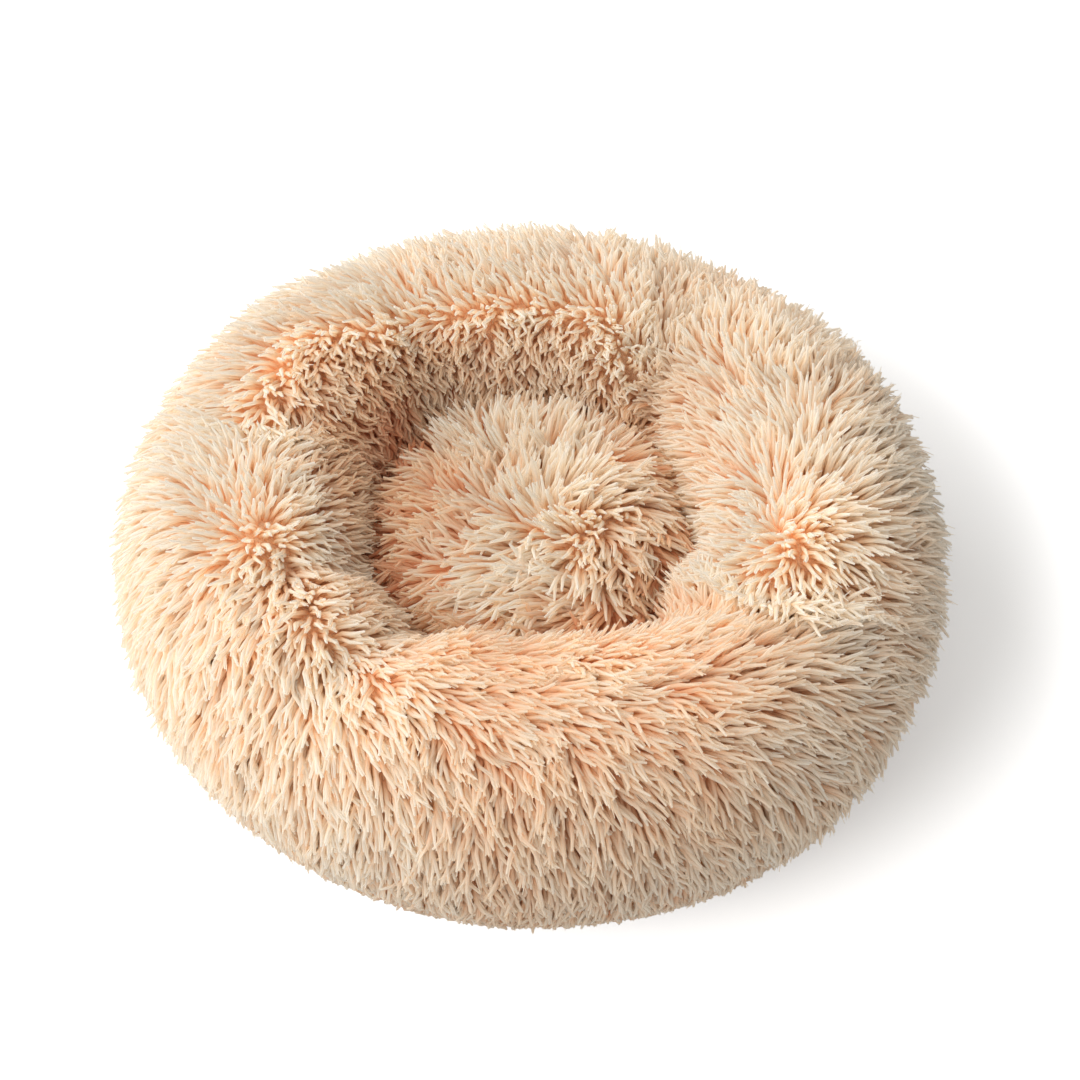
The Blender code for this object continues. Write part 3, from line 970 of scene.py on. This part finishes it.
def knit(tree, place):
    """Rows of small loops of a knitted backing."""
    rows = waves(tree, place, "DIAGONAL", KNIT_PITCH)
    loops = add_node(tree, "ShaderNodeTexVoronoi", Vector=place, Scale=1 / KNIT_PITCH, feature="F1")
    return rows * 0.5 + (output(loops, "Distance") * -1.0 + 1.0) * 0.5


def fibres(tree, place):
    """Matted fibres of a loose filling."""
    return noise(tree, place, FIBRES_PER_METRE, 4.0, Distortion=2.5)


def twist(tree, place):
    """The turns of a sewing thread's plies."""
    return waves(tree, place, "DIAGONAL", THREAD_TWIST)


def rubber_skin(tree, place):
    """The faint unevenness of a moulded dot."""
    return noise(tree, place, RUBBER_GRAINS_PER_METRE, 2.0)


def coat(length, lift, parting):
    """Upright, shorter locks in the partings, and how deep the cloth lies under the coat."""
    height = length * np.sin(lift + LIFT_OVER_MARKS)
    upright = np.minimum(lift + parting * PARTING_RISE, MOST_LIFT)
    shorter = np.minimum(length, height * PARTED_HEIGHT / np.sin(upright + LIFT_OVER_MARKS))
    depth = np.clip(COAT_SHARE * height, *COAT_DEPTHS)
    return shorter, upright, depth * (1 - PARTED_COAT_LESS * parting)


def room_above(cloth, direction, normals, lift, length):
    """The share of its length that each lock may have, to end under the pile's top."""
    steep = lift + STEEPEST_OVER_LIFT
    rise = np.cos(steep) * direction[..., 2] + np.sin(steep) * normals[..., 2]
    needed = np.maximum(rise * length * ROOM_KEPT, 1e-4)
    return np.clip((PILE_TOP - cloth[..., 2]) / needed, LEAST_ROOM, 1)


def plush(node, grid, how, marks, places):
    """A plush's cloth under its pile, and what the pile's tree reads at each of its points."""
    cores, rays, reach, tilts = grid
    outer = cores[:, None] + rays * reach[..., None]
    degrees = np.degrees(tilts)
    normals = normals_of(outer)
    surface = surface_of(node)
    side = np.where(degrees > how["parts at"], 1.0, -1.0)
    usual = unit(np.gradient(outer, axis=1)) * side[None, :, None]
    direction, agreement = comb(outer, normals, usual, combing(marks, surface))
    usual = np.stack([np.interp(degrees, *values) for values in how["usual"]], -1)
    grown_so = growth(outer, np.repeat(usual[None], len(outer), 0), places, surface)
    parting = np.clip(1 - agreement, 0, 1)
    # Painted light: partings are paler, over the shade between their upright locks
    tone = grown_so[..., 3] + parting * np.interp(degrees, *how["painted light in partings"])
    trimmed = grown_so[..., 0] * np.interp(degrees, *how["trim"])
    length, lift, depth = coat(trimmed, np.radians(grown_so[..., 1]), parting)
    depth = depth * np.interp(degrees, *how["depth"])
    if node == "bolster_cover":
        depth = smoothed(depth, DEPTH_SMOOTHING)
    cloth = cores[:, None] + rays * (reach - depth)[..., None]
    first, last = how["grows between"]
    fields = {
        "comb": direction,
        "rise": normals,
        "lift": lift,
        "length": length * room_above(cloth, direction, normals, lift, length),
        # Painted shade: the tone drops at the foot of each pile
        "tone": tone + np.interp(degrees, *how["painted shade at foot"]),
        "curl": grown_so[..., 2],
        "straggle": STRAGGLE + parting * PARTING_STRAGGLE,
        "parting": parting,
        "thickness": ((degrees >= first) & (degrees <= last)) * np.ones(parting.shape),
    }
    return cloth, fields, degrees


def make_bolster(pile, backing):
    """The bolster's plush: its cloth, and the pile on it."""
    cloth, fields, degrees = plush(
        "bolster_cover", bolster_grid(), BOLSTER_PILE, BOLSTER_COMBING, BOLSTER_GROWTH
    )
    skin = sheet_mesh("bolster_plush", cloth, closed=True)
    tree = pile_tree(pile)
    first = int(np.searchsorted(degrees, 0))
    edge = int(np.searchsorted(degrees, NEST_EDGE_ANGLE))
    outer_pile = ("bolster_pile", OUTER_PIECES, edge, len(degrees), BOLSTER_SEED, {})
    nest_pile = ("nest_pile", NEST_PIECES, first, edge + 1, NEST_SEED, NEST_SIZES)
    for label, count, low, high, seed, sizes in (outer_pile, nest_pile):
        steps = STEPS_AROUND // count
        for k in range(count):
            rows = [(k * steps + s) % STEPS_AROUND for s in range(steps + 1)]
            part = {n: v[rows][:, low:high] for n, v in fields.items()}
            base = sheet_mesh("base", cloth[rows][:, low:high], fields=part)
            piece = grown(f"{label}_{k + 1}", base, tree, {**sizes, "Seed": 100 * k + seed})
            finish_piece(piece, pile, "bolster_plush")
    thicken(skin, CLOTH_THICKNESS, -1)
    finish_piece(skin, backing, "bolster_plush", "bolster_cover")


def make_pad(pile, backing):
    """The sleeping pad's plush: its cloth, and the pile on it."""
    cloth, fields, _ = plush("pad_cover", pad_grid(), PAD_PILE, PAD_COMBING, PAD_GROWTH)
    cloth[:, 0] = cloth[:, 0].mean(axis=0)
    skin = sheet_mesh("pad_plush", cloth, closed=True, poles=True)
    base = sheet_mesh("base", cloth, closed=True, fields=fields)
    piece = grown("pad_pile", base, pile_tree(pile), PAD_SIZES)
    finish_piece(piece, pile, "pad_plush")
    thicken(skin, CLOTH_THICKNESS, -1)
    finish_piece(skin, backing, "pad_plush", "pad_cover")


def rolled(values, shape, seed, reach):
    """Smooth random lumps between -1 and 1 over a grid that closes round the bed."""
    lumps = smoothed(np.random.default_rng(seed).normal(size=shape), reach)
    return lumps / np.abs(lumps).max() * values


def make_fillings(fibre):
    """Lumpy polyester fibre in the bolster and in the pad."""
    tilts = np.linspace(0, 2 * math.pi, FILLING_STEPS, endpoint=False)
    cores, rays, reach = ring_grid("bolster_filling", tilts)
    lumps = rolled(FILLING_LUMPS, reach.shape, 3, LUMP_SMOOTHING)
    lumps[:, -1] = (lumps[:, 0] + lumps[:, -2]) / 2
    reach = reach - FILLING_LUMPS + lumps
    ring = sheet_mesh(
        "bolster_fibre", cores[:, None] + rays * reach[..., None], closed=True, looped=True
    )
    finish_piece(ring, fibre, "polyester_fibre", "bolster_filling")
    tilts = np.linspace(0, math.pi, FILLING_STEPS)
    cores, rays, reach = mound_grid("pad_filling", tilts)
    lumps = rolled(FILLING_LUMPS, reach.shape, 4, LUMP_SMOOTHING) * np.sin(tilts) ** 0.5
    shape = cores[:, None] + rays * (reach - FILLING_LUMPS + lumps)[..., None]
    for pole in (0, -1):
        shape[:, pole] = shape[:, pole].mean(axis=0)
    core = sheet_mesh("pad_fibre", shape, closed=True, poles=True)
    finish_piece(core, fibre, "polyester_fibre", "pad_filling")


def make_lining(cloth):
    """The thin cloth that closes the pad underneath."""
    low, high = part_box("pad_lining")
    middle = (low.z + high.z) / 2
    rim, outward = rim_of("pad_lining", middle)
    shares = np.linspace(0, 1, LINING_STEPS)
    disc = outward[:, None] * (rim * shares)[..., None]
    creases = rolled((high.z - low.z) * 0.25, disc.shape[:2], 6, CREASE_SMOOTHING)
    disc[..., 2] = middle + creases * np.sin(shares * math.pi) ** 2
    disc[:, 0] = disc[:, 0].mean(axis=0)
    lining = sheet_mesh("lining_disc", disc, closed=True, poles=True)
    thicken(lining, LINING_CLOTH, 0)
    finish_piece(lining, cloth, "lining_cloth", "pad_lining")


def row_lengths(rows):
    """Distances along each row of a grid from its first point."""
    steps = np.linalg.norm(np.diff(rows, axis=1), axis=-1)
    return np.concatenate([np.zeros((len(rows), 1)), np.cumsum(steps, axis=1)], axis=1)


def at_length(row, lengths, wanted):
    """The point of a row at a distance along it."""
    return np.array([np.interp(wanted, lengths, row[:, k]) for k in range(3)])


def make_base(cloth, rubber):
    """The anti-slip base fabric, curled up to the seam, and the dots on its underside."""
    under = base_grid()
    rise = normals_of(under)
    under = under + rise * DOT_HEIGHT
    under[:, 0] = under[:, 0].mean(axis=0)
    base = sheet_mesh("base_disc", under, closed=True, poles=True)
    thicken(base, BASE_CLOTH, 1)
    finish_piece(base, cloth, "anti_slip_fabric", "base_fabric")
    lengths = row_lengths(under)
    across = 2 * float(lengths[:, -1].mean())
    places = []
    facing = []
    half = int(across / 2 / DOT_PITCH) + 1
    for a in range(-half, half + 1):
        for b in range(-half, half + 1):
            u = (a + 0.5) * DOT_PITCH
            v = (b + 0.5) * DOT_PITCH
            row = round(math.atan2(v, u) / (2 * math.pi) * BASE_STEPS_AROUND) % BASE_STEPS_AROUND
            wanted = math.hypot(u, v)
            if wanted > lengths[row, -1] - DOT_MARGIN:
                continue
            place = at_length(under[row], lengths[row], wanted)
            if wanted < lengths[row, BASE_FLAT_STEPS - 1]:
                place[:2] = (u, v)
            places.append(place)
            facing.append(unit(at_length(rise[row], lengths[row], wanted)))
    dots = planted("anti_slip_dots", places, {"rise": facing}, dot_tree(rubber))
    finish_piece(dots, rubber, "anti_slip_fabric")
    return under, rise


def make_seams(thread, under, rise):
    """The stitches that show at the base fabric's rim and on its underside."""
    tree = stitch_tree(thread)
    lengths = row_lengths(under)
    rows = range(len(under))
    margin = lengths[:, -1] - OUTER_STITCH_MARGIN
    path = np.array([at_length(under[k], lengths[k], margin[k]) for k in rows])
    faces = -unit(np.array([at_length(rise[k], lengths[k], margin[k]) for k in rows]))
    rim = stitches("outer_stitches", [(path, faces)], tree)
    finish_piece(rim, thread, "sewing_thread", "outer_seam_thread")
    low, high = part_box("inner_seam_thread")
    middle = (low.z + high.z) / 2
    radius, outward = rim_of("inner_seam_thread", middle)
    upper = repeated(0, 0, middle, BASE_STEPS_AROUND) + outward * (radius - THREAD_RADIUS)
    lower = upper.copy()
    lower[:, 2] = DOT_HEIGHT - THREAD_RADIUS / 2
    up = repeated(0, 0, 1.0, BASE_STEPS_AROUND)
    nest = stitches("inner_stitches", [(upper, up), (lower, -up)], tree)
    finish_piece(nest, thread, "sewing_thread", "inner_seam_thread")


def stitches(name, seams, tree):
    """A stitch at every step along closed seams, each a path and the way that it faces."""
    places = []
    facing = []
    along = []
    for path, faces in seams:
        ring = np.vstack([path, path[:1]])
        turned = np.vstack([faces, faces[:1]])
        lengths = row_lengths(ring[None])[0]
        count = round(lengths[-1] / (STITCH_LENGTH + STITCH_GAP))
        for k in range(count):
            wanted = (k + 0.5) / count * lengths[-1]
            ahead = at_length(ring, lengths, wanted + STITCH_LENGTH / 2)
            behind = at_length(ring, lengths, wanted - STITCH_LENGTH / 2)
            places.append((ahead + behind) / 2)
            along.append(unit(ahead - behind))
            facing.append(unit(at_length(turned, lengths, wanted)))
    return planted(name, places, {"rise": facing, "along": along}, tree)


def planted(name, places, directions, tree):
    """What a tree plants on points, as a plain mesh object."""
    mesh = bpy.data.meshes.new("points")
    mesh.from_pydata(np.array(places).tolist(), [], [])
    for key, values in directions.items():
        attribute = mesh.attributes.new(key, "FLOAT_VECTOR", "POINT")
        attribute.data.foreach_set("vector", np.array(values, np.float32).ravel())
    return grown(name, placed("points", mesh), tree, {})


def aligned(tree, name, axis, pivot="AUTO", **feeds):
    """The turn that sets a copy's axis along a named vector, after another turn if given."""
    feeds.update(Vector=stored_vector(tree, name), axis=axis, pivot_axis=pivot)
    return add_node(tree, "FunctionNodeAlignRotationToVector", **feeds)


def dot_tree(material):
    """A low rubber dome on every point."""
    tree, given, size = new_tree("dots", {"Dot radius": DOT_RADIUS, "Dot height": DOT_HEIGHT})
    feeds = {"Segments": DOT_SEGMENTS, "Rings": DOT_RINGS, "Radius": 1.0}
    ball = add_node(tree, "GeometryNodeMeshUVSphere", **feeds)
    flat = vector_of(tree, X=size["Dot radius"], Y=size["Dot radius"], Z=size["Dot height"])
    close_tree(tree, copies_on(tree, given, ball, aligned(tree, "rise", "Z"), Scale=flat), material)
    return tree


def stitch_tree(material):
    """A short length of thread on every point, its ends dipping into the cloth."""
    sizes = {"Stitch length": STITCH_LENGTH, "Thread radius": THREAD_RADIUS}
    tree, given, size = new_tree("stitches", sizes)
    length, radius = size.values()
    line = add_node(tree, "GeometryNodeCurvePrimitiveLine", End=vector_of(tree, X=length))
    stepped = add_node(tree, "GeometryNodeResampleCurve", Curve=line, Count=STITCH_POINTS)
    share = given_by(tree, "GeometryNodeSplineParameter", "Factor")
    from_middle = (share - 0.5) * 2.0
    dip = from_middle.power(4.0) * radius * -STITCH_DIP
    moved = vector_of(tree, X=length * -0.5, Z=dip)
    bent = add_node(tree, "GeometryNodeSetPosition", Geometry=stepped, Offset=moved)
    thread = tube(tree, bent, THREAD_SIDES, radius)
    turned = aligned(tree, "along", "X", "Z", Rotation=aligned(tree, "rise", "Z"))
    close_tree(tree, copies_on(tree, given, thread, turned), material)
    return tree


def mapped(tree, value, start, stop, low, high, **settings):
    """A value between start and stop, turned into one between low and high."""
    return output(add_node(
        tree,
        "ShaderNodeMapRange",
        Value=value,
        From_Min=start,
        From_Max=stop,
        To_Min=low,
        To_Max=high,
        **settings,
    ))


def light_the_studio():
    """Soft light from all round, and a broad key lamp from the left, a little behind the bed."""
    world = bpy.data.worlds.new("studio")
    bpy.context.scene.world = world
    world.use_nodes = True
    tree = world.node_tree
    sky = tree.nodes["Background"]
    sky.inputs["Color"].default_value = SKY_COLOR
    came = given_by(tree, "ShaderNodeTexCoord", "Generated")
    toward = came.worked("DOT_PRODUCT", SKY_FROM)
    graded = mapped(tree, toward, -1.0, 1.0, *SKY_STRENGTHS)
    feed(tree, sky.inputs["Strength"], graded)
    seen = add_node(tree, "ShaderNodeBackground", Color=(1, 1, 1, 1), Strength=1.0)
    both = mixed(tree, given_by(tree, "ShaderNodeLightPath", "Is Camera Ray"), sky, seen)
    feed(tree, tree.nodes["World Output"].inputs["Surface"], both)
    lamp = bpy.data.lights.new("key", "SUN")
    lamp.energy = KEY_STRENGTH
    lamp.angle = KEY_WIDTH
    placed("key", lamp).rotation_euler = KEY_FROM.to_track_quat("Z", "Y").to_euler()
    bpy.context.scene.view_settings.view_transform = "Standard"


def lay_floor():
    """A white floor that keeps the bed's shadow near it, with painted light glowing over the rest.
    """
    mesh = bpy.data.meshes.new("floor")
    corners = ((-1, -1), (1, -1), (1, 1), (-1, 1))
    mesh.from_pydata([(x * FLOOR_HALF, y * FLOOR_HALF, 0) for x, y in corners], [], [(0, 1, 2, 3)])
    floor = placed("floor", mesh)
    floor.location.z = -FLOOR_DROP
    material, tree = new_material("floor")
    tree.nodes.clear()
    matt = add_node(tree, "ShaderNodeBsdfDiffuse", Color=FLOOR_GREY)
    place = given_by(tree, "ShaderNodeTexCoord", "Object")
    away = place.worked("DISTANCE", SHADOW_MIDDLE)
    fade = mapped(tree, away, *SHADOW_FADES, *FLOOR_GLOWS, interpolation_type="SMOOTHSTEP")
    # Painted light: the floor glows for the camera, over the bed's shadow away from SHADOW_MIDDLE
    seen = given_by(tree, "ShaderNodeLightPath", "Is Camera Ray") * fade
    glow = add_node(tree, "ShaderNodeEmission", Strength=seen)
    both = tree.nodes.new("ShaderNodeAddShader")
    feed(tree, both.inputs[0], matt)
    feed(tree, both.inputs[1], glow)
    feed(tree, tree.nodes.new("ShaderNodeOutputMaterial").inputs["Surface"], both)
    mesh.materials.append(material)


aim_camera()
light_the_studio()
lay_floor()
pile = pile_material()
# The backing's orange is partly its own colour and partly painted warm shade for the gaps in the
# pile
backing = cloth_material(knit, "plush_backing", (0.92, 0.58, 0.36), (0.95, 0.68, 0.46), 0.85, 0.0006)
base_weave = cloth_material(
    weave, "anti_slip_weave", (0.56, 0.47, 0.41), (0.72, 0.63, 0.57), 0.8, 0.0003
)
rubber = cloth_material(
    rubber_skin, "rubber_dots", (0.21, 0.08, 0.05), (0.30, 0.13, 0.09), 0.55, 0.0001
)
lining = cloth_material(weave, "lining_weave", (0.74, 0.69, 0.63), (0.86, 0.82, 0.77), 0.8, 0.0002)
fibre = cloth_material(fibres, "white_fibre", (0.78, 0.78, 0.75), (0.92, 0.92, 0.90), 0.9, 0.0015)
thread = cloth_material(twist, "sewing_thread", (0.60, 0.44, 0.33), (0.78, 0.64, 0.52), 0.6, 0.0001)
make_bolster(pile, backing)
make_pad(pile, backing)
make_fillings(fibre)
make_lining(lining)
under, rise = make_base(base_weave, rubber)
make_seams(thread, under, rise)
